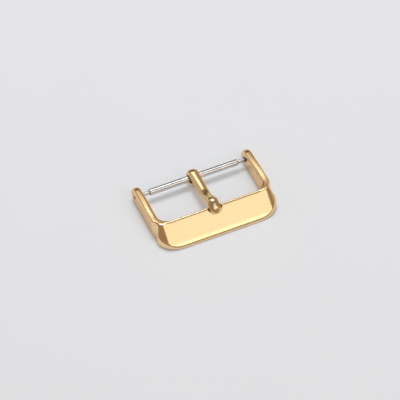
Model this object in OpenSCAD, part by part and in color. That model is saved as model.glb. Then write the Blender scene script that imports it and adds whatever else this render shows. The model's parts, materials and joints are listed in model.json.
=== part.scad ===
// Tang buckle for a watch strap: a one-piece frame, a tongue and a sprung bar.
// Millimetres. +X runs along the spring bar, +Y from the front bar to the spring bar, +Z up.
// The origin is under the middle of the frame, on the surface that the buckle lies on.

/* [Frame] */
// Clear width between the two arms, which is the width of strap that the buckle takes
strap_w = 20; // [16:0.5:24]
// Thickness of one arm, along the spring bar
arm_t = 1.4; // [1.2:0.05:1.8]
// Height of the arms, which is also the diameter of their round ends
arm_h = 3.5; // [3.2:0.1:4]
// Radius that rounds the arms' edges
arm_round = 0.55; // [0.3:0.05:0.65]
// Distance from the spring bar's axis to the front edge
reach = 12.85; // [12:0.05:16]
// Depth of the front bar, from the window to the front edge
bar_d = 4.15; // [3.8:0.05:4.8]
// Height of the ridge above the arms' tops
ridge_rise = 0.15; // [0.05:0.05:0.6]
// Width of the flat land along the ridge
land_w = 0.45; // [0.3:0.05:0.8]
// Height of the upright lip below the sloping face
lip_h = 0.4; // [0.3:0.05:0.8]
// Radius of the two front corners in plan
corner_r = 3; // [2:0.1:3.6]
// Radius of the window's two front corners in plan
window_r = 2; // [1:0.1:2.3]
// Width of each end facet, from the sloping face to the frame's side
facet_w = 1.15; // [0.8:0.05:1.6]
// How far each end facet falls over that width
facet_drop = 1.05; // [0.6:0.05:1.5]
// Distance over which the arms' tops rise to the ridge, up to the window's front edge
rise_l = 2.8; // [2.5:0.1:3.5]
// Depth of the hollow in each outer side at the ridge's height, where the arm meets the bar
scoop_depth = 0.5; // [0.2:0.05:0.7]
// Radius of that hollow
scoop_r = 1.7; // [1.2:0.1:2.5]
// Height at which the hollow starts
scoop_foot = 1.1; // [0.6:0.1:1.6]

/* [Notch for the tongue] */
// Width of the notch in the ridge
notch_w = 2.5; // [2.3:0.05:3]
// Depth of the notch below the land
notch_depth = 0.35; // [0.2:0.05:0.6]
// Radius along the notch's bottom corners
notch_r = 0.25; // [0.1:0.05:0.3]

/* [Spring bar] */
// Outer diameter of the tube
tube_d = 1.16; // [1:0.02:1.3]
// Wall of the tube
tube_wall = 0.11; // [0.09:0.01:0.13]
// Gap between each end of the tube and the arm beside it
tube_gap = 1.45; // [1.3:0.05:2]
// Length of the rolled lip that keeps a pin in each end of the tube
roll_l = 0.25; // [0.15:0.05:0.5]
// Diameter of the pins' shafts
shaft_d = 0.66; // [0.6:0.01:0.68]
// Diameter of the pins' flanges
flange_d = 0.96; // [0.8:0.02:1]
// Thickness of the pins' flanges
flange_t = 0.25; // [0.15:0.05:0.4]
// Diameter of the pins' tips, which stand in the arms
tip_d = 0.7; // [0.5:0.05:0.8]
// How far a tip stops short of the arm's outer face
tip_recess = 0.6; // [0.2:0.05:0.7]
// Length of the pins' heads inside the tube
head_l = 1.2; // [0.8:0.1:2]
// Distance that the spring is pressed in at each end when the bar is fitted
preload = 0.5; // [0.3:0.05:1]
// Wire diameter of the spring
wire_d = 0.14; // [0.1:0.01:0.16]
// Number of curls in the spring
curls = 18; // [10:1:20]

/* [Tongue] */
// Thickness of the tongue's strip round the tube
strip_t = 0.88; // [0.6:0.02:1]
// Width of the tongue at the tube
tongue_w = 1.9; // [1.5:0.02:2]
// Width of the neck
neck_w = 1.74; // [1.4:0.02:1.8]
// Width of the head where it lies in the notch
head_w = 2.2; // [2:0.05:2.2]
// Length of the level stretch, from the spring bar's axis
level_l = 3.9; // [3:0.1:4.5]
// Thickness of the head above the ridge
head_t = 1.05; // [0.8:0.05:1.2]
// Length of the lip that closes the loop under the tongue
curl_l = 1.75; // [1.2:0.05:1.9]

/* [Fits] */
// Radial clearance between the pins and the bores that they slide in
slide_fit = 0.03; // [0.02:0.01:0.05]
// Radial clearance between the tips and the arms' holes
hole_fit = 0.05; // [0.03:0.01:0.1]
// Radial clearance between the spring and the tube's bore
coil_fit = 0.05; // [0.03:0.01:0.08]
// Radial clearance between the tube and the tongue's loop
swing_fit = 0.04; // [0.02:0.01:0.08]
// Gap left where one piece bears on another
seat_gap = 0.02; // [0.01:0.01:0.03]
// Gap between the tongue's head and the bar that it lies on
rest_gap = 0.05; // [0.03:0.01:0.08]

/* [Hidden] */
$fn = 0;
$fa = 4;
$fs = 0.05;
gold = [0.93, 0.76, 0.47];
steel = [0.8, 0.8, 0.82];

// Overlap of cutters past the faces that they open
over = 1;
// Overall sizes of the frame
half_w = strap_w / 2 + arm_t;
end_r = arm_h / 2;
ridge_h = arm_h + ridge_rise;
// Place of the spring bar's axis
axis_y = (reach - end_r) / 2;
axis_z = end_r;
// Distances forward of the axis to the window's edge and to the front of the land
bar_back = reach - bar_d;
land_front = bar_back + land_w;
// Fall of the sloping face for each millimetre forward
face_fall = (ridge_h - lip_h) / (reach - land_front);
// The front bar's block starts where the arms' tops start to rise, a little below those tops
block_back = bar_back - rise_l;
block_sink = 0.05;
// The arms run on into the block by this much
arm_in_block = 1.2;
// Bevels along the block's outer edges, which carry on the rounding of the arms
edge_bevel = 0.5 * arm_round;
// Distance forward of the axis to the middle of the hollows in the sides
scoop_at = bar_back + 0.2;

// Spring bar, from the middle outward
bore_d = tube_d - 2 * tube_wall;
tube_l = strap_w - 2 * tube_gap;
roll_bore = shaft_d + 2 * slide_fit;
head_d = bore_d - 2 * slide_fit;
head_out = tube_l / 2 - roll_l - preload;
head_in = head_out - head_l;
flange_out = strap_w / 2 - seat_gap;
flange_in = flange_out - flange_t;
tip_out = half_w - tip_recess;
hole_d = tip_d + 2 * hole_fit;
// A chamfer on the ends of the tube and the tips
bevel = 0.06;

// Spring, which lies between the two heads
spring_l = 2 * (head_in - seat_gap);
coil_r = bore_d / 2 - coil_fit - wire_d / 2;
curl_rings = 8;
wire_sides = 6;

// Loop of the tongue: radii from the axis, and the angle at which the lip leaves the circle
loop_in = tube_d / 2 + swing_fit;
loop_out = loop_in + strip_t;
// The strip is swept inward to this radius, and then the loop's true bore is cut
core_r = loop_in / 2;
lip_angle = 305;
// The lip's end is slanted: its outer face runs on past the middle by this much
lip_slant = 0.25;
// Heights of the head over the axis: its underside in the notch and the ridge itself
ridge_up = ridge_h - axis_z;
seat_up = ridge_up - notch_depth + rest_gap;
ring_sides = 20;
loop_step = 15;

// Puts its children at the spring bar's axis
module at_axis() {
    translate([0, axis_y, axis_z]) children();
}

// Copies its children to the left side too
module both_sides() {
    children();
    mirror([1, 0, 0]) children();
}

// Rectangle from the origin with all corners rounded
module rounded_bar(size, r) {
    translate([r, 0]) square([size[0] - 2 * r, size[1]]);
    translate([0, r]) square([size[0], size[1] - 2 * r]);
    for (x = [r, size[0] - r], y = [r, size[1] - r]) translate([x, y]) circle(r);
}

// Half of a disc's section with a rounded rim, for turning about its axis
module rim_section(radius, thick, r) {
    square([radius - r, thick]);
    translate([0, r]) square([radius, thick - 2 * r]);
    for (y = [r, thick - r]) translate([radius - r, y]) circle(r);
}

// The right arm: a round end about the axis and a straight bar that runs forward from it
module arm() {
    translate([strap_w / 2, 0, 0]) rotate([0, 90, 0])
        rotate_extrude() rim_section(end_r, arm_t, arm_round);
    translate([strap_w / 2, 0, -end_r]) rotate([90, 0, 0])
        linear_extrude(block_back + arm_in_block) rounded_bar([arm_t, arm_h], arm_round);
}

// Plan of the front bar with its shoulders, as distances forward of the axis
module bar_plan() {
    translate([-half_w, block_back]) square([2 * half_w, reach - corner_r - block_back]);
    translate([corner_r - half_w, block_back]) square([2 * (half_w - corner_r), reach - block_back]);
    for (side = [-1, 1])
        translate([side * (half_w - corner_r), reach - corner_r]) circle(corner_r);
}

// Window between the arms, as distances forward of the axis
module window_plan() {
    half = strap_w / 2;
    translate([-half, -over]) square([strap_w, bar_back - window_r + over]);
    translate([window_r - half, 0]) square([strap_w - 2 * window_r, bar_back]);
    for (side = [-1, 1])
        translate([side * (half - window_r), bar_back - window_r]) circle(window_r);
}

// Side view of the front bar: lip, sloping face, land and rising shoulders
module bar_profile() {
    polygon([
        [block_back, 0],
        [reach, 0],
        [reach, lip_h],
        [land_front, ridge_h],
        [bar_back, ridge_h],
        [block_back, arm_h - block_sink]
    ]);
}

// Front view of the bar: bevelled along its outer edges, below and above
module bar_front() {
    top = arm_h - edge_bevel;
    polygon([
        [-half_w, edge_bevel],
        [edge_bevel - half_w, 0],
        [half_w - edge_bevel, 0],
        [half_w, edge_bevel],
        [half_w, top],
        [half_w - arm_t, top + arm_t],
        [arm_t - half_w, top + arm_t],
        [-half_w, top]
    ]);
}

// The front bar with its shoulders before the facets, hollows and notch are cut
module bar_block() {
    translate([0, axis_y, 0]) intersection() {
        mirror([0, 1, 0]) linear_extrude(ridge_h) bar_plan();
        translate([-half_w, 0, 0]) rotate([90, 0, -90]) mirror([0, 0, 1])
            linear_extrude(2 * half_w) bar_profile();
        rotate([90, 0, 0]) linear_extrude(reach) bar_front();
    }
}

// Space above the right end facet, which meets the sloping face facet_w in from the side
module facet_cutter() {
    steep = facet_drop / facet_w;
    tilt = [face_fall, steep, 0];
    translate([half_w - facet_w, axis_y - reach, lip_h])
        rotate(a = atan(norm(tilt)), v = tilt)
            translate([-reach, -reach, 0]) cube([2 * reach, 2 * reach, reach]);
}

// Hollow in the right outer side, which deepens upward, where the arm meets the bar
module scoop_cutter() {
    translate([half_w + scoop_r, axis_y - scoop_at, scoop_foot])
        rotate([0, -atan(scoop_depth / (ridge_h - scoop_foot)), 0])
            cylinder(h = 4 * ridge_h, r = scoop_r, center = true);
}

// Notch across the ridge in which the tongue's head lies
module notch_cutter() {
    translate([-notch_w / 2, axis_y - bar_back + over, ridge_h - notch_depth]) rotate([90, 0, 0])
        linear_extrude(reach) rounded_bar([notch_w, 2 * ridge_h], notch_r);
}

// Holes through both arms for the tips of the pins
module pin_holes() {
    at_axis() rotate([0, 90, 0])
        translate([0, 0, -half_w - over]) cylinder(h = 2 * (half_w + over), d = hole_d);
}

module buckle_frame() {
    color(gold) difference() {
        union() {
            at_axis() both_sides() arm();
            bar_block();
        }
        translate([0, axis_y, -over]) mirror([0, 1, 0]) linear_extrude(ridge_h + 2 * over) window_plan();
        both_sides() facet_cutter();
        both_sides() scoop_cutter();
        notch_cutter();
        pin_holes();
    }
}

// A station of the tongue is [outer forward, outer up, inner forward, inner up, half width],
// with distances from the spring bar's axis.
function on_loop(angle, inner, half) = [
    loop_out * cos(angle), loop_out * sin(angle),
    inner * cos(angle), inner * sin(angle), half
];

// Stations of the lip, from its free end back to the circle
function lip_station(along) =
    let (forward = sin(lip_angle), up = cos(lip_angle), root = on_loop(lip_angle, loop_in, tongue_w / 2))
    [
        root[0] - forward * along * (curl_l + lip_slant), root[1] + up * along * (curl_l + lip_slant),
        root[2] - forward * along * (curl_l - lip_slant), root[3] + up * along * (curl_l - lip_slant),
        root[4]
    ];

// A station drawn in about its middle, for round ends
function drawn_in(station, share, ahead) =
    let (
        forward = (station[0] + station[2]) / 2,
        up = (station[1] + station[3]) / 2
    )
    [
        forward + (station[0] - forward) * share + ahead[0], up + (station[1] - up) * share + ahead[1],
        forward + (station[2] - forward) * share + ahead[0], up + (station[3] - up) * share + ahead[1],
        station[4] * share
    ];

// Lowest height for the tongue's underside: clear of the notch's floor and of the sloping face
function rest_up(forward) = min(seat_up, ridge_up + rest_gap - (forward - land_front) * face_fall);
chin_up = rest_up(bar_back + 1.05) + 0.04;
nose_up = rest_up(bar_back + 1.24) + 0.06;

// Hand-placed stations of the level stretch, the neck and the head
body_stations = [
    [0.5, loop_out, 0.5, loop_in - 0.07, tongue_w / 2],
    [level_l / 2, loop_out, level_l / 2, loop_in - 0.07, tongue_w / 2],
    [level_l, loop_out - 0.03, level_l, loop_in - 0.07, tongue_w / 2],
    [level_l + 0.8, loop_out + 0.02, level_l + 0.9, loop_in + 0.08, neck_w / 2 + 0.1],
    [bar_back - 3.1, ridge_up - 0.15, bar_back - 2.9, ridge_up - 0.87, neck_w / 2],
    [bar_back - 2, ridge_up + 0.4, bar_back - 1.9, ridge_up - 0.38, neck_w / 2 + 0.06],
    [bar_back - 1.3, ridge_up + 0.82, bar_back - 1.2, ridge_up - 0.1, head_w / 2 - 0.14],
    [bar_back - 0.7, ridge_up + head_t, bar_back - 0.7, ridge_up, head_w / 2 - 0.08],
    [bar_back - 0.1, ridge_up + head_t - 0.06, bar_back - 0.1, seat_up + 0.03, head_w / 2],
    [bar_back + 0.5, ridge_up + head_t - 0.36, bar_back + 0.4, seat_up, head_w / 2],
    [bar_back + 1, ridge_up + head_t - 0.8, bar_back + 0.8, seat_up, head_w / 2 - 0.06],
    [bar_back + 1.28, chin_up + 0.26, bar_back + 1.05, chin_up, head_w / 2 - 0.28],
    [bar_back + 1.42, nose_up + 0.16, bar_back + 1.24, nose_up, head_w / 2 - 0.6]
];

// Smooth curve through four stations, from the second to the third
function blend(a, b, c, d, t) =
    (2 * b + (c - a) * t + (2 * a - 5 * b + 4 * c - d) * t * t + (3 * b - a - 3 * c + d) * t * t * t) / 2;

blend_steps = 3;
last = len(body_stations) - 1;
smooth_body = [
    for (i = [0 : last - 1], k = [0 : blend_steps - 1])
        blend(
            body_stations[max(i - 1, 0)], body_stations[i],
            body_stations[i + 1], body_stations[min(i + 2, last)], k / blend_steps
        )
];
nose = body_stations[last];
tongue_stations = concat(
    [drawn_in(lip_station(1), 0.6, [0.1, 0.07])],
    [for (along = [1, 0.7, 0.35]) lip_station(along)],
    [for (angle = [lip_angle : -loop_step : 90 + loop_step / 2]) on_loop(angle, core_r, tongue_w / 2)],
    [on_loop(90, core_r, tongue_w / 2)],
    smooth_body,
    [nose, drawn_in(nose, 0.55, [0.05, -0.04])]
);

// Section of the tongue across one station: a crowned top over a squarer underside
waist = 0.2;
function power(value, exponent) = sign(value) * pow(abs(value), exponent);
function tongue_ring(station) = [
    for (k = [0 : ring_sides - 1])
        let (
            across = cos(k * 360 / ring_sides),
            rise = sin(k * 360 / ring_sides),
            top = rise >= 0,
            x = station[4] * power(across, top ? 0.95 : 0.5),
            share = waist + (top ? (1 - waist) * rise : waist * power(rise, 0.5))
        )
        [
            x,
            -(station[2] + (station[0] - station[2]) * share),
            station[3] + (station[1] - station[3]) * share
        ]
];

// Closed tube through rings of equal length
module loft(rings) {
    n = len(rings[0]);
    count = len(rings);
    polyhedron(
        points = [for (ring = rings) for (point = ring) point],
        faces = concat(
            [[for (k = [0 : n - 1]) k]],
            [for (i = [0 : count - 2], k = [0 : n - 1]) [i * n + k, (i + 1) * n + k, i * n + (k + 1) % n]],
            [
                for (i = [0 : count - 2], k = [0 : n - 1])
                    [(i + 1) * n + k, (i + 1) * n + (k + 1) % n, i * n + (k + 1) % n]
            ],
            [[for (k = [n - 1 : -1 : 0]) (count - 1) * n + k]]
        )
    );
}

module tongue() {
    color(gold) at_axis() difference() {
        loft([for (station = tongue_stations) tongue_ring(station)]);
        rotate([0, 90, 0]) cylinder(h = 2 * tongue_w, r = loop_in, center = true);
    }
}

// Section of the tube from its middle to its right end, for turning about its axis
module tube_section() {
    outer = tube_d / 2;
    polygon([
        [bore_d / 2, 0],
        [outer, 0],
        [outer, tube_l / 2 - bevel],
        [outer - bevel, tube_l / 2],
        [roll_bore / 2, tube_l / 2],
        [roll_bore / 2, tube_l / 2 - roll_l],
        [bore_d / 2, tube_l / 2 - roll_l]
    ]);
}

module spring_bar_tube() {
    color(steel) at_axis() both_sides() rotate([0, 90, 0]) rotate_extrude() tube_section();
}

// Section of the right pin: head in the tube, shaft, flange on the arm and tip in the hole
module pin_section() {
    polygon([
        [0, head_in],
        [head_d / 2, head_in],
        [head_d / 2, head_out],
        [shaft_d / 2, head_out],
        [shaft_d / 2, flange_in],
        [flange_d / 2, flange_in],
        [flange_d / 2, flange_out],
        [tip_d / 2, flange_out],
        [tip_d / 2, tip_out - bevel],
        [tip_d / 2 - bevel, tip_out],
        [0, tip_out]
    ]);
}

module right_pin() {
    color(steel) at_axis() rotate([0, 90, 0]) rotate_extrude() pin_section();
}

module spring_bar_pin_left() {
    mirror([1, 0, 0]) right_pin();
}

module spring_bar_pin_right() {
    right_pin();
}

// Wire section at one point of the helix, square to the spring's axis of turning
helix_l = spring_l - wire_d;
coil_pitch = helix_l / curls;
coil_rings = [
    for (i = [0 : curls * curl_rings])
        let (turn = i * 360 / curl_rings, x = i * coil_pitch / curl_rings - helix_l / 2)
        [
            for (k = [0 : wire_sides - 1])
                let (
                    out = coil_r + cos(k * 360 / wire_sides) * wire_d / 2,
                    along = sin(k * 360 / wire_sides) * wire_d / 2
                )
                [x + along, out * cos(turn), out * sin(turn)]
        ]
];
// Least gap between neighbouring curls, measured on the helix's own points
curl_gap = min([
    for (i = [0 : (curls - 1) * curl_rings])
        norm(coil_rings[i + curl_rings][0] - coil_rings[i][0]) - wire_d
]);
echo(curl_gap = curl_gap);

module spring_bar_spring() {
    color(steel) at_axis() loft(coil_rings);
}

buckle_frame();
tongue();
spring_bar_tube();
spring_bar_pin_left();
spring_bar_pin_right();
spring_bar_spring();
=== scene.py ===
"""Looks of the watch buckle: smooth gold frame and tongue, steel spring bar, plain studio."""

import json
import math

import bpy
import numpy as np
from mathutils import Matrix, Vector


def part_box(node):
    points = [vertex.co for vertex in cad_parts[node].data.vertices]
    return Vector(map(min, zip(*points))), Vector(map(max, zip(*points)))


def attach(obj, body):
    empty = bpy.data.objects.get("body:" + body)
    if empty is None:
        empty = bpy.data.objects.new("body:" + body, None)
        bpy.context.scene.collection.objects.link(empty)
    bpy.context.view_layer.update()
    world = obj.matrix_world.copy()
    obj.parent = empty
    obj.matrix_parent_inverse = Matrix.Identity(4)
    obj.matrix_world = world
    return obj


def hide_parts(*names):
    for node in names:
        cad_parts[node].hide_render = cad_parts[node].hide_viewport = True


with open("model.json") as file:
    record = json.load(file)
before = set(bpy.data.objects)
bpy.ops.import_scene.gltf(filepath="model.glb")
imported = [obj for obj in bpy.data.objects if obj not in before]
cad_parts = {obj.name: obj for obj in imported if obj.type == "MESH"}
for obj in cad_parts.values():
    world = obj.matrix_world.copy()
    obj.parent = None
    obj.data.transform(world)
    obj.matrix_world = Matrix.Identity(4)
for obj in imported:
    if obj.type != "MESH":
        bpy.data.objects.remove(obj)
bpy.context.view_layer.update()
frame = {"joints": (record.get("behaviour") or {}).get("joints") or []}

# Sizes are in millimetres up to the point where a mesh is made
MM = 0.001
joints = {joint["name"]: joint for joint in frame["joints"]}
axis_y, axis_z = (value / MM for value in joints["tongue_swing"]["pos_m"][1:])


def box_mm(node):
    """Lowest and highest corner of a CAD node in millimetres."""
    low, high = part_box(node)
    return Vector(low) / MM, Vector(high) / MM


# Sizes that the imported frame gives
frame_low, frame_high = box_mm("buckle_frame")
tube_high = box_mm("spring_bar_tube")[1]
pin_low, pin_high = box_mm("spring_bar_pin_right")
spring_high = box_mm("spring_bar_spring")[1]
half_w = frame_high.x
ridge_h = frame_high.z
end_r = axis_z
arm_h = 2 * end_r
reach = axis_y - frame_low.y

# Frame: arms, front bar with its land, sloping face and lip, and facets at the face's ends
arm_t = 1.4
bar_d = 4.15
land_w = 0.45
lip_h = 0.45
corner_across, corner_along = 4.0, 3.05
window_r = 2.0
facet_w, facet_steep = 1.18, 0.9
notch_w, notch_depth, notch_r = 2.5, 0.35, 0.2
hole_r = 0.4
bar_back = reach - bar_d
land_front = bar_back + land_w
face_fall = (ridge_h - lip_h) / (reach - land_front)

# Where the arms rise to the land, where their tops start to sink, and where the face bends down
rise_from, rise_to = bar_back - 2.8, bar_back + 0.1
sink_from, sink_bend = bar_back - 3.5, 0.006
bend_from, face_bend = reach - 0.83, 0.2

# Hollow in each outer side, which leans in towards the top
hollow_r, hollow_at, hollow_foot, hollow_lean = 1.7, bar_back + 0.2, 0.8, 0.11

# How round the edges are, and how much more so the arms' tops are inside than outside
arm_round, under_round, bar_round, bar_under_round, lip_round = 0.5, 0.4, 0.3, 0.28, 0.3
round_shift = 0.14

# Widths over which forms run into each other
land_blend, ridge_blend, ridge_end_blend, facet_blend = 0.02, 0.22, 0.1, 0.3
hollow_blend, hollow_top_blend = 0.5, 0.18
notch_blend, hole_blend = 0.12, 0.08


def smooth_max(a, b, width):
    """Larger of two fields, with the edge where they meet rounded over a width."""
    share = np.maximum(width - np.abs(a - b), 0) / width
    return np.maximum(a, b) + share * share * width / 4


def rounded_both(a, b, radius):
    """Field of what lies inside both fields, with the edge between them truly round."""
    across, along = np.maximum(a + radius, 0), np.maximum(b + radius, 0)
    return np.hypot(across, along) - radius + np.minimum(np.maximum(a + radius, b + radius), 0)


def ramp(value, start, end):
    """0 before start, 1 after end and a smooth step between."""
    share = np.clip((value - start) / (end - start), 0, 1)
    return share * share * (3 - 2 * share)


def between(start, end, share):
    """Value that goes from start to end as the share goes from 0 to 1."""
    return start + (end - start) * share


def wall_field(x, forward):
    """Distance to the frame's upright walls: outer sides, front, and window."""
    dx, dl = x - (half_w - corner_across), forward - (reach - corner_along)
    scaled = np.hypot(dx / corner_across, dl / corner_along)
    slope = np.hypot(dx / corner_across**2, dl / corner_along**2)
    corner = scaled * (scaled - 1) / np.maximum(slope, 1e-6)
    outer = np.where((dx > 0) & (dl > 0), corner, np.maximum(x - half_w, forward - reach))
    inner_w = half_w - arm_t
    wx, wl = x - (inner_w - window_r), forward - (bar_back - window_r)
    window = np.where(
        (wx > 0) & (wl > 0), np.hypot(wx, wl) - window_r, np.maximum(x - inner_w, forward - bar_back)
    )
    return np.maximum(outer, -window)


def sink(forward, z):
    """How much lower the arms lie towards the spring bar, in full at their tops and less below."""
    return sink_bend * np.maximum(sink_from - forward, 0) ** 2 * z / arm_h


def lid_field(x, forward, z):
    """Distance to the frame's top: arms, land, sloping face and end facets."""
    rise = (ridge_h - arm_h) * (np.maximum(forward - rise_from, 0) / (rise_to - rise_from)) ** 2
    flat = smooth_max(z - ridge_h, z + sink(forward, z) - arm_h - rise, land_blend)
    bend = face_bend * np.maximum(forward - bend_from, 0) ** 2
    fall = z - ridge_h + (forward - land_front) * face_fall + bend
    slope = fall / math.hypot(1, face_fall)
    facet = (fall + (x - half_w + facet_w) * facet_steep) / math.hypot(1, face_fall, facet_steep)
    ridge = between(ridge_blend, ridge_end_blend, ramp(x, half_w - 3, half_w - 2))
    return smooth_max(smooth_max(flat, slope, ridge), facet, facet_blend)


def edge_radius(x, forward, z):
    """How round the edges are: the arms' tops more so inside than outside, then the bar and the lip."""
    high = ramp(z, end_r - 0.5, end_r + 0.5)
    arm_middle = half_w - arm_t / 2
    inside = 1 - 2 * ramp(x, arm_middle - 0.1, arm_middle + 0.1)
    uneven = round_shift * inside * ramp(forward, 1.5, 5.0)
    arm = between(under_round, arm_round + uneven, high)
    front = ramp(forward, land_front + 0.3, reach - 1.5) * ramp(z, 0.05, 0.25)
    bar = between(between(bar_under_round, bar_round, high), lip_round, front)
    return between(arm, bar, ramp(forward, bar_back - 2.2, bar_back + 0.2))


def hollow_field(x, forward, z):
    """Distance to the hollow in the outer side: an upright round whose axis bends in with the height."""
    above = np.maximum(z - hollow_foot, 0)
    axis_x = half_w + hollow_r - hollow_lean * above**2
    steep = np.hypot(1, 2 * hollow_lean * above)
    return (np.hypot(x - axis_x, forward - hollow_at) - hollow_r) / steep


def frame_field(points):
    """Signed distance to the frame at points (across, forward of the bar's axis, up)."""
    x, forward, z = np.abs(points[:, 0]), points[:, 1], points[:, 2]
    rim = np.hypot(forward, z + sink(forward, z) - end_r) - end_r
    upright = np.where(forward < 0, rim, np.maximum(lid_field(x, forward, z), -z))
    solid = rounded_both(upright, wall_field(x, forward), edge_radius(x, forward, z))
    hollow_edge = between(hollow_blend, hollow_top_blend, ramp(z, 2.1, 3.3))
    solid = smooth_max(solid, -hollow_field(x, forward, z), hollow_edge)
    notch = smooth_max(x - notch_w / 2, ridge_h - notch_depth - z, notch_r)
    solid = smooth_max(solid, -notch, notch_blend)
    hole = np.hypot(forward, z - end_r) - hole_r
    return smooth_max(solid, -hole, hole_blend)


def field_normals(field, points, step=0.004):
    """Unit directions in which a field grows, and how fast it grows."""
    rates = np.empty_like(points)
    for k in range(3):
        ahead, behind = points.copy(), points.copy()
        ahead[:, k] += step
        behind[:, k] -= step
        rates[:, k] = (field(ahead) - field(behind)) / (2 * step)
    size = np.linalg.norm(rates, axis=1, keepdims=True)
    return rates / np.maximum(size, 1e-9), size[:, 0]


def net_mesh(field, low, high, cell):
    """Quad mesh on the zero surface of a field: one vertex per crossed cell, moved onto the surface."""
    counts = [int(math.ceil((b - a) / cell)) + 1 for a, b in zip(low, high)]
    lines = [a + cell * np.arange(n) for a, n in zip(low, counts)]
    grid = np.stack(np.meshgrid(*lines, indexing="ij"), -1).reshape(-1, 3)
    values = field(grid).reshape(counts)
    inside = values < 0
    corners = [(i, j, k) for i in (0, 1) for j in (0, 1) for k in (0, 1)]

    def shifted(array, offset):
        return array[tuple(slice(o, n - 1 + o) for o, n in zip(offset, counts))]

    total = sum(shifted(inside, c).astype(np.int8) for c in corners)
    crossed = (total > 0) & (total < 8)
    number = np.full(crossed.shape, -1, np.int64)
    cells = np.argwhere(crossed)
    number[crossed] = np.arange(len(cells))
    points = np.zeros((len(cells), 3))
    hits = np.zeros(len(cells))
    corner_values = {c: shifted(values, c)[crossed] for c in corners}
    for a in corners:
        for k in range(3):
            if a[k]:
                continue
            b = tuple(1 if m == k else a[m] for m in range(3))
            va, vb = corner_values[a], corner_values[b]
            cut = (va < 0) != (vb < 0)
            share = np.where(cut, va / np.where(cut, va - vb, 1), 0)
            spot = np.array(a, float) + share[:, None] * (np.arange(3) == k)
            points += spot * cut[:, None]
            hits += cut
    points = np.array(low) + (cells + points / hits[:, None]) * cell
    for _ in range(5):
        normals, size = field_normals(field, points)
        move = np.clip(field(points) / np.maximum(size, 0.3), -cell, cell)
        points -= normals * move[:, None]
    quads = []
    for k in range(3):
        m, n = [(1, 2), (2, 0), (0, 1)][k]
        one, two = np.eye(3, dtype=int)[m], np.eye(3, dtype=int)[n]
        here = tuple(slice(0 if a == k else 1, count - 1) for a, count in enumerate(counts))
        ahead = tuple(slice(1, count if a == k else count - 1) for a, count in enumerate(counts))
        first, second = inside[here], inside[ahead]
        starts = np.argwhere(first != second) + np.array([0 if a == k else 1 for a in range(3)])
        leaves = first[first != second]
        ring = [starts - one - two, starts - two, starts, starts - one]
        faces = np.stack([number[tuple(spot.T)] for spot in ring], 1)
        quads.append(np.where(leaves[:, None], faces, faces[:, ::-1]))
    return points, np.concatenate(quads), field_normals(field, points)[0]


def make_object(name, points, faces, normals=None):
    """Mesh object from points in millimetres (across, forward of the axis, above the floor)."""
    place = np.array(points, float) * (1, -1, 1) + (0, axis_y, 0)
    mesh = bpy.data.meshes.new(name)
    mesh.from_pydata((place * MM).tolist(), [], [list(face)[::-1] for face in faces])
    mesh.polygons.foreach_set("use_smooth", [True] * len(mesh.polygons))
    mesh.update()
    if normals is not None:
        turned = np.array(normals, float) * (1, -1, 1)
        mesh.normals_split_custom_set_from_vertices(turned.tolist())
    thing = bpy.data.objects.new(name, mesh)
    bpy.context.scene.collection.objects.link(thing)
    return thing


def build_frame(cell=0.09, margin=0.2):
    """The frame as one smooth solid, found on a grid of cells with a margin round it."""
    low = (-half_w - margin, -end_r - margin, -margin)
    high = (half_w + margin, reach + margin, ridge_h + margin)
    points, faces, normals = net_mesh(frame_field, low, high, cell)
    return make_object("gold_frame", points, faces.tolist(), normals)


# Tongue: heights are over the bar's axis
tube_r = tube_high.z - axis_z
loop_play, loop_t, level_t = 0.04, 0.88, 0.95
loop_in = tube_r + loop_play
loop_out = loop_in + loop_t
level_low = loop_out - level_t
tongue_w, neck_w, head_w = 1.9, 1.74, 2.32
level_l, head_t, curl_l, lip_slant = 3.9, 1.05, 1.75, 0.25
lip_angle = math.radians(305)
ridge_up = ridge_h - axis_z
rest_gap = 0.05
seat_up = ridge_up - notch_depth + rest_gap
chin_at, nose_at = bar_back + 1.12, bar_back + 1.34


def rest_up(forward):
    """Lowest height over the axis for the tongue's underside, above the notch and the sloping face."""
    return min(seat_up, ridge_up + rest_gap - (forward - land_front) * face_fall)


def loop_station(angle):
    """Station on the loop: outer forward and up, inner forward and up, half width, height of the waist."""
    c, s = math.cos(angle), math.sin(angle)
    return [loop_out * c, loop_out * s, loop_in * c, loop_in * s, tongue_w / 2, 0.45]


def lip_station(along):
    """Station on the straight lip that closes the loop underneath."""
    forward, up = -math.sin(lip_angle), math.cos(lip_angle)
    root = loop_station(lip_angle)
    outer, inner = along * (curl_l + lip_slant), along * (curl_l - lip_slant)
    return [
        root[0] + forward * outer, root[1] + up * outer,
        root[2] + forward * inner, root[3] + up * inner,
        root[4], root[5],
    ]


def drawn_in(station, share, ahead):
    """A station shrunk about its middle and moved on, for round ends."""
    forward, up = (station[0] + station[2]) / 2, (station[1] + station[3]) / 2
    return [
        forward + (station[0] - forward) * share + ahead[0], up + (station[1] - up) * share + ahead[1],
        forward + (station[2] - forward) * share + ahead[0], up + (station[3] - up) * share + ahead[1],
        station[4] * share, station[5],
    ]


def blend(stations, steps):
    """Smooth run through stations, without the last one."""
    rows = np.array(stations, float)
    out = []
    for i in range(len(rows) - 1):
        a, b, c, d = (rows[min(max(i + k, 0), len(rows) - 1)] for k in (-1, 0, 1, 2))
        for t in np.arange(steps) / steps:
            cubic = (2 * a - 5 * b + 4 * c - d) * t**2 + (3 * b - a - 3 * c + d) * t**3
            out.append(((2 * b + (c - a) * t + cubic) / 2).tolist())
    return out


def round_end(station, ahead, count, reverse=False):
    """Stations that close a strip with a round end."""
    run = []
    for k in range(1, count + 1):
        angle = math.radians(88) * k / count
        share = math.cos(angle)
        run.append(drawn_in(station, share, [value * math.sin(angle) for value in ahead]))
    return run[::-1] if reverse else run


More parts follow.
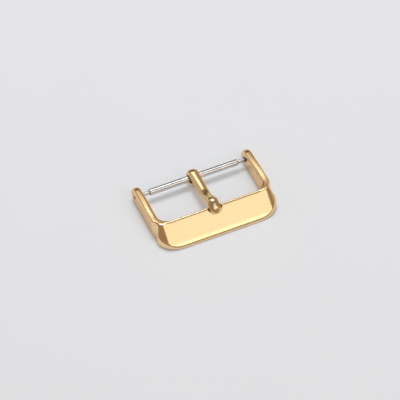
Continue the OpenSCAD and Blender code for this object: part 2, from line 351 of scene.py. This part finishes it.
def tongue_stations():
    """Stations of the whole strip, from the lip's free end to the nose."""
    chin_up, nose_up = rest_up(chin_at) + 0.04, rest_up(nose_at) + 0.06
    body = [
        [0, loop_out, 0, loop_in, tongue_w / 2, 0.45],
        [0.5, loop_out, 0.5, level_low, tongue_w / 2, 0.4],
        [level_l / 2, loop_out, level_l / 2, level_low, tongue_w / 2, 0.25],
        [level_l, loop_out - 0.03, level_l, level_low, tongue_w / 2, 0.12],
        [level_l + 0.8, loop_out + 0.02, level_l + 0.9, loop_in + 0.08, neck_w / 2 + 0.1, 0.12],
        [bar_back - 3.1, ridge_up - 0.15, bar_back - 2.9, ridge_up - 0.87, neck_w / 2, 0.12],
        [bar_back - 2, ridge_up + 0.4, bar_back - 1.9, ridge_up - 0.38, neck_w / 2 + 0.06, 0.12],
        [bar_back - 1.3, ridge_up + 0.82, bar_back - 1.2, ridge_up - 0.1, head_w / 2 - 0.14, 0.12],
        [bar_back - 0.7, ridge_up + head_t, bar_back - 0.7, ridge_up, head_w / 2 - 0.08, 0.12],
        [bar_back - 0.1, ridge_up + head_t - 0.06, bar_back - 0.1, seat_up + 0.03, head_w / 2, 0.12],
        [bar_back + 0.5, ridge_up + head_t - 0.36, bar_back + 0.4, seat_up, head_w / 2, 0.12],
        [bar_back + 1.04, ridge_up + head_t - 0.76, bar_back + 0.8, seat_up, head_w / 2 - 0.04, 0.12],
        [chin_at + 0.26, chin_up + 0.26, chin_at, chin_up, head_w / 2 - 0.24, 0.12],
        [nose_at + 0.2, nose_up + 0.16, nose_at, nose_up, head_w / 2 - 0.54, 0.12],
    ]
    lip = [lip_station(along) for along in (1, 0.8, 0.6, 0.4, 0.2)]
    loop = [loop_station(angle) for angle in np.arange(lip_angle, math.radians(91), -math.radians(5))]
    lip_end = round_end(lip[0], [0.1, 0.07], 5, reverse=True)
    nose_end = round_end(body[-1], [0.05, -0.04], 5)
    return lip_end + lip + loop + blend(body, 10) + [body[-1]] + nose_end


def tongue_ring(station, sides=56):
    """Section across the strip at a station: a crowned top above the waist, and a squarer underside."""
    ring, waist = [], station[5]
    for k in range(sides):
        angle = 2 * math.pi * k / sides
        across, rise = math.cos(angle), math.sin(angle)
        top = rise >= 0
        x = station[4] * math.copysign(abs(across) if top else abs(across) ** 0.5, across)
        share = waist + ((1 - waist) * rise if top else -waist * abs(rise) ** 0.5)
        ring.append([
            x,
            station[2] + (station[0] - station[2]) * share,
            station[3] + (station[1] - station[3]) * share + axis_z,
        ])
    return ring


def loft(rings):
    """Points and faces of a closed tube through rings of equal length."""
    n, count = len(rings[0]), len(rings)
    faces = [list(range(n))[::-1], [(count - 1) * n + k for k in range(n)]]
    for i in range(count - 1):
        a, b = i * n, (i + 1) * n
        faces += [[a + (k + 1) % n, b + (k + 1) % n, b + k, a + k] for k in range(n)]
    return [point for ring in rings for point in ring], faces


def build_tongue():
    """The tongue: a strip rolled round the bar, with a neck and a rounded head."""
    points, faces = loft([tongue_ring(station) for station in tongue_stations()])
    return make_object("gold_tongue", points, [face[::-1] for face in faces])


def rounded_outline(corners, steps=5):
    """Points and normals of an outline of corners (along, radius, rounding), with metal on its right."""
    points, normals = [], []
    for i, (x, r, rounding) in enumerate(corners):
        here = np.array([x, r], float)
        before = here - np.array(corners[i - 1][:2], float)
        after = np.array(corners[(i + 1) % len(corners)][:2], float) - here
        before /= np.linalg.norm(before)
        after /= np.linalg.norm(after)
        left_before, left_after = np.array([-before[1], before[0]]), np.array([-after[1], after[0]])
        if rounding == 0:
            points.append(here)
            normals.append(left_after if i == 0 else left_before)
            continue
        turn = math.acos(float(np.clip(before @ after, -1, 1)))
        bend = 1 if left_after @ before > 0 else -1
        centre = here - before * rounding * math.tan(turn / 2) - bend * left_before * rounding
        for t in np.linspace(0, 1, steps + 1):
            mix = left_before * math.sin((1 - t) * turn) + left_after * math.sin(t * turn)
            normals.append(mix / math.sin(turn))
            points.append(centre + bend * normals[-1] * rounding)
    return points, normals


def lathe(name, corners, solid=False, sides=72):
    """Piece turned about the spring bar's axis. A solid's outline starts and ends on the axis."""
    rows, points, normals = [], [], []
    circle = [(math.cos(2 * math.pi * k / sides), math.sin(2 * math.pi * k / sides)) for k in range(sides)]
    for (x, r), (nx, nr) in zip(*rounded_outline(corners)):
        spots = circle if r > 0 else circle[:1]
        rows.append([len(points) + k % len(spots) for k in range(sides)])
        points += [[x, r * c, r * s + axis_z] for c, s in spots]
        normals += [[nx, nr * c, nr * s] for c, s in spots]
    faces = []
    for low, high in zip(rows, rows[1:] if solid else rows[1:] + rows[:1]):
        for k in range(sides):
            m = (k + 1) % sides
            faces.append(list(dict.fromkeys([low[m], high[m], high[k], low[k]])))
    return make_object(name, points, faces, normals)


# Spring bar: tube, and the right pin from its inner end to its outer one
tube_half = tube_high.x
tube_wall, roll_l, pin_play, coil_play = 0.11, 0.25, 0.03, 0.05
bore_r = tube_r - tube_wall
shaft_r, head_r, head_l = 0.33, bore_r - pin_play, 1.2
flange_r, flange_t, flange_play, tip_r = pin_high.z - axis_z, 0.25, 0.02, 0.35
head_in, tip_out = pin_low.x, pin_high.x
flange_out = half_w - arm_t - flange_play


def build_tube():
    """The spring bar's tube, with its ends rolled in over the pins' heads."""
    roll_r, inner = shaft_r + pin_play, tube_half - roll_l
    return lathe("steel_tube", [
        (-tube_half, roll_r, 0.03), (-tube_half, tube_r, 0.13),
        (tube_half, tube_r, 0.13), (tube_half, roll_r, 0.03),
        (inner, roll_r, 0.02), (inner, bore_r, 0.02),
        (-inner, bore_r, 0.02), (-inner, roll_r, 0.02),
    ])


def build_pin(name, side):
    """One sprung pin: head, shaft, flange and tip."""
    head_out, flange_in = head_in + head_l, flange_out - flange_t
    corners = [
        (head_in, 0, 0), (head_in, head_r, 0.06), (head_out, head_r, 0.03),
        (head_out, shaft_r, 0.02), (flange_in, shaft_r, 0.03), (flange_in, flange_r, 0.06),
        (flange_out, flange_r, 0.06), (flange_out, tip_r, 0.02), (tip_out, tip_r, 0.12),
        (tip_out, 0, 0),
    ]
    if side < 0:
        corners = [(-x, r, rounding) for x, r, rounding in corners[::-1]]
    return lathe(name, corners, solid=True)


def build_spring(turns=18, wire_r=0.07, rings_per_turn=28, sides=12):
    """The coil spring inside the tube."""
    coil_r = bore_r - coil_play - wire_r
    length = 2 * spring_high.x - 2 * wire_r
    rings = []
    for i in range(turns * rings_per_turn + 1):
        turn = 2 * math.pi * i / rings_per_turn
        x = length * (i / (turns * rings_per_turn) - 0.5)
        out = np.array([0, math.cos(turn), math.sin(turn)])
        run = np.array([length / turns / (2 * math.pi), -coil_r * out[2], coil_r * out[1]])
        side = np.cross(run / np.linalg.norm(run), out)
        middle = np.array([x, 0, axis_z]) + coil_r * out
        angles = 2 * math.pi * np.arange(sides) / sides
        rings.append([middle + wire_r * (math.cos(a) * out + math.sin(a) * side) for a in angles])
    points, faces = loft(rings)
    return make_object("steel_spring", points, faces)


class Shader:
    """Short way to write a node tree."""

    def __init__(self, tree):
        self.tree = tree
        tree.nodes.clear()

    def add(self, kind, values=None, **settings):
        """A new node. A value that is a socket is linked, and any other is set."""
        node = self.tree.nodes.new(kind)
        for key, value in settings.items():
            setattr(node, key, value)
        for key, value in (values or {}).items():
            if isinstance(value, bpy.types.NodeSocket):
                self.tree.links.new(value, node.inputs[key])
            else:
                node.inputs[key].default_value = value
        return node

    def noise(self, vector, detail):
        """Noise from 0 to 1."""
        values = {"Vector": vector, "Scale": 1.0, "Detail": detail}
        return self.add("ShaderNodeTexNoise", values).outputs["Fac"]

    def mix(self, share, first, second):
        """Mixture of two colours."""
        values = {0: share, 6: first, 7: second}
        return self.add("ShaderNodeMix", values, data_type="RGBA").outputs[2]

    def math(self, operation, first, second):
        """Result of a calculation with two numbers."""
        values = {0: first, 1: second}
        return self.add("ShaderNodeMath", values, operation=operation).outputs[0]

    def stretched(self, scale):
        """Object coordinates times a scale for each axis."""
        place = self.add("ShaderNodeTexCoord").outputs["Object"]
        return self.add("ShaderNodeMapping", {"Vector": place, "Scale": scale}).outputs["Vector"]

    def spread(self, value, low, high, out_low, out_high):
        """A value from one range moved into another, and kept inside it."""
        values = {0: value, 1: low, 2: high, 3: out_low, 4: out_high}
        return self.add("ShaderNodeMapRange", values).outputs["Result"]


def metal(name, colour, worn, crevice_shade, roughness, scratch, bump, edge_tint):
    """Polished metal with painted shade in its creases, hollows and gaps, and worn edges. Scratch: how fine
    its hairlines are along and across.
    """
    material = bpy.data.materials.new(name)
    material.use_nodes = True
    sh = Shader(material.node_tree)
    per_mm = 1 / MM
    along, across = scratch[0] * per_mm, scratch[1] * per_mm
    hair = sh.noise(sh.stretched([along, across, across]), 4.0)
    cloud = sh.noise(sh.stretched([0.35 * per_mm] * 3), 2.0)
    edge = sh.add("ShaderNodeNewGeometry").outputs["Pointiness"]
    wear = sh.spread(edge, 0.53, 0.62, 0.0, 0.35)
    patch = sh.spread(cloud, 0.35, 0.65, 0.0, 0.5)
    tint = sh.mix(patch, colour, worn)
    bright = sh.mix(wear, tint, worn)
    # Painted shade: ambient occlusion darkens the base colour towards a dark shade colour in creases,
    # hollows and gaps
    open_air = sh.add("ShaderNodeAmbientOcclusion", {"Distance": 0.6 * MM}, samples=8).outputs["AO"]
    unshaded = sh.spread(open_air, 0.35, 0.85, 0.0, 1.0)
    base = sh.mix(unshaded, crevice_shade, bright)
    rough = sh.spread(hair, 0.3, 0.7, roughness[0], roughness[1])
    lift = sh.add("ShaderNodeBump", {"Height": hair, "Strength": bump, "Distance": 0.002 * MM})
    shader = sh.add("ShaderNodeBsdfPrincipled", {
        "Base Color": base, "Metallic": 1.0, "Roughness": rough,
        "Normal": lift.outputs["Normal"], "Specular Tint": edge_tint,
    })
    sh.add("ShaderNodeOutputMaterial", {"Surface": shader.outputs["BSDF"]})
    return material


# Studio: light that the floor adds for the camera and in reflections, where 1 is white
FLOOR_GLOW = 0.19
# Lamp power for a square metre of lamp with a brightness of 1
LAMP_FACTOR = 2.4


def floor_material():
    """Pale plain floor that keeps the object's shadow and shows pale in the metal too."""
    material = bpy.data.materials.new("pale_floor")
    material.use_nodes = True
    sh = Shader(material.node_tree)
    grain = sh.noise(sh.stretched([60, 60, 60]), 3.0)
    shade = sh.mix(grain, (0.82, 0.865, 0.935, 1), (0.84, 0.885, 0.955, 1))
    matt = sh.add("ShaderNodeBsdfDiffuse", {"Color": shade})
    path = sh.add("ShaderNodeLightPath").outputs
    seen = sh.math("MAXIMUM", path["Is Camera Ray"], path["Is Glossy Ray"])
    level = sh.math("MULTIPLY", seen, FLOOR_GLOW)
    glow = sh.add("ShaderNodeEmission", {"Color": (0.9, 0.955, 1.0, 1), "Strength": level})
    both = sh.add("ShaderNodeAddShader", {0: matt.outputs[0], 1: glow.outputs[0]})
    sh.add("ShaderNodeOutputMaterial", {"Surface": both.outputs[0]})
    return material


def build_floor(size=2.0, drop=0.00001):
    """Large floor just under the object."""
    mesh = bpy.data.meshes.new("floor")
    half = size / 2
    corners = [(-half, -half, -drop), (half, -half, -drop), (half, half, -drop), (-half, half, -drop)]
    mesh.from_pydata(corners, [], [(0, 1, 2, 3)])
    floor = bpy.data.objects.new("floor", mesh)
    bpy.context.scene.collection.objects.link(floor)
    mesh.materials.append(floor_material())


def softbox(name, azimuth, elevation, distance, size, radiance):
    """Rectangular lamp that faces the object from a direction, with a given brightness to look at."""
    a, e = math.radians(azimuth), math.radians(elevation)
    way = Vector((math.sin(a) * math.cos(e), -math.cos(a) * math.cos(e), math.sin(e)))
    light = bpy.data.lights.new(name, "AREA")
    light.shape = "RECTANGLE"
    light.size, light.size_y = size
    light.energy = radiance * LAMP_FACTOR * size[0] * size[1]
    lamp = bpy.data.objects.new(name, light)
    lamp.location = way * distance
    lamp.rotation_euler = way.to_track_quat("Z", "Y").to_euler()
    bpy.context.scene.collection.objects.link(lamp)


def build_world():
    """Dim room round the lamps: warm near the horizon, darker at the back, a wall at the left rear."""
    world = bpy.data.worlds.new("studio")
    bpy.context.scene.world = world
    world.use_nodes = True
    sh = Shader(world.node_tree)
    way = sh.add("ShaderNodeTexCoord").outputs["Generated"]
    parts = sh.add("ShaderNodeSeparateXYZ", {"Vector": way}).outputs
    behind = sh.spread(parts["Y"], 0.6, 0.85, 0.0, 1.0)
    low = sh.mix(behind, (0.33, 0.25, 0.17, 1), (0.14, 0.115, 0.085, 1))
    height = sh.spread(parts["Z"], 0.65, 0.92, 0.0, 1.0)
    room = sh.mix(height, low, (0.205, 0.205, 0.21, 1))
    rear = sh.spread(parts["Y"], 0.4, 0.52, 0.0, 1.0)
    left = sh.spread(parts["X"], -0.15, -0.4, 0.0, 0.6)
    colour = sh.mix(sh.math("MULTIPLY", rear, left), room, (0.74, 0.69, 0.62, 1))
    sky = sh.add("ShaderNodeBackground", {"Color": colour, "Strength": 1.0})
    sh.add("ShaderNodeOutputWorld", {"Surface": sky.outputs[0]})


def build_camera():
    """Camera at the photograph's viewing angle, from far off through a long lens."""
    azimuth, elevation = math.radians(-24.28), math.radians(50.5)
    look_at = Vector((-0.494, 1.618, 0)) * MM
    view_w, distance = 70.8 * MM, 0.5
    back = Vector((
        math.sin(azimuth) * math.cos(elevation),
        -math.cos(azimuth) * math.cos(elevation),
        math.sin(elevation),
    ))
    data = bpy.data.cameras.new("camera")
    data.sensor_width = 36
    data.lens = data.sensor_width * distance / view_w
    data.clip_start, data.clip_end = 0.001, 10
    camera = bpy.data.objects.new("camera", data)
    camera.location = look_at + back * distance
    camera.rotation_euler = back.to_track_quat("Z", "Y").to_euler()
    bpy.context.scene.collection.objects.link(camera)
    bpy.context.scene.camera = camera


def dress(piece, material, body, node):
    """Gives a piece its material, hangs it on the body it rides on, and hides the CAD part it takes the
    place of.
    """
    piece.data.materials.append(material)
    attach(piece, body)
    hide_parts(node)


build_camera()
# Each metal's third colour is the painted shade for its creases, hollows and gaps
gold = metal(
    "gold", colour=(0.94, 0.69, 0.385, 1), worn=(0.95, 0.71, 0.41, 1), crevice_shade=(0.16, 0.065, 0.03, 1),
    roughness=(0.17, 0.24), scratch=(0.5, 9.0), bump=0.06, edge_tint=(0.9, 0.75, 0.65, 1),
)
steel = metal(
    "bright_steel", colour=(0.66, 0.65, 0.645, 1), worn=(0.78, 0.78, 0.78, 1), crevice_shade=(0.08, 0.06, 0.045, 1),
    roughness=(0.14, 0.26), scratch=(0.4, 40.0), bump=0.15, edge_tint=(0.35, 0.34, 0.33, 1),
)
dull_steel = metal(
    "dull_steel", colour=(0.62, 0.60, 0.585, 1), worn=(0.75, 0.74, 0.73, 1), crevice_shade=(0.06, 0.05, 0.04, 1),
    roughness=(0.25, 0.4), scratch=(12.0, 12.0), bump=0.3, edge_tint=(0.35, 0.34, 0.33, 1),
)
dress(build_frame(), gold, "frame", "buckle_frame")
dress(build_tongue(), gold, "tongue", "tongue")
dress(build_tube(), steel, "tube", "spring_bar_tube")
dress(build_pin("steel_pin_left", -1), dull_steel, "pin_left", "spring_bar_pin_left")
dress(build_pin("steel_pin_right", 1), dull_steel, "pin_right", "spring_bar_pin_right")
dress(build_spring(), dull_steel, "tube", "spring_bar_spring")
build_floor()
softbox("front_softbox", 18, 45, 0.6, (0.34, 0.42), 1.12)
softbox("front_strip", 18, 31, 0.59, (0.34, 0.12), 0.95)
softbox("back_softbox", 158, 63, 0.6, (0.5, 0.36), 1.17)
softbox("key", 171, 69, 0.62, (0.2, 0.2), 10.5)
build_world()
bpy.context.scene.view_settings.view_transform = "Standard"
